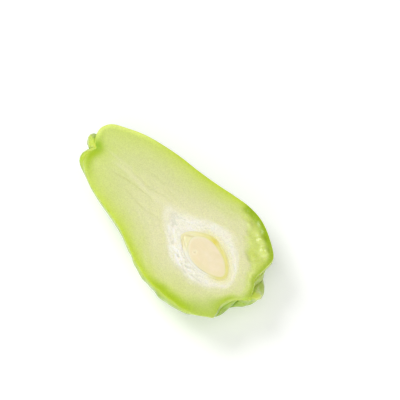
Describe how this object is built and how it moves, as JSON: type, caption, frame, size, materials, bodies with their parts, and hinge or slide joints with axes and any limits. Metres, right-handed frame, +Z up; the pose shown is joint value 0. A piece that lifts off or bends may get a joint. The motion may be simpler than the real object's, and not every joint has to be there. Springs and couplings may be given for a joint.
{
  "type": "chayote squash half",
  "caption": "Half a pear-shaped squash, cut lengthwise, with lobed skin, pale flesh and its cut seed, lying on its rounded back.",
  "frame": {"origin": "centre of the bounding box's bottom, on the surface the half lies on", "axes": "+X along the fruit from stem end to blossom end, +Y across it, +Z up out of the level cut face"},
  "size_m": [0.1518, 0.0798, 0.0341],
  "materials": {
    "fruit": "waxy yellow-green skin and wet pale green flesh",
    "seed_coat": "soft pale yellow seed coat, moist",
    "seed_kernel": "smooth cream kernel, cut flat and moist"
  },
  "bodies": {
    "root": {"fruit_half": "fruit", "seed_coat": "seed_coat", "seed_kernel": "seed_kernel"}
  },
  "joints": []
}
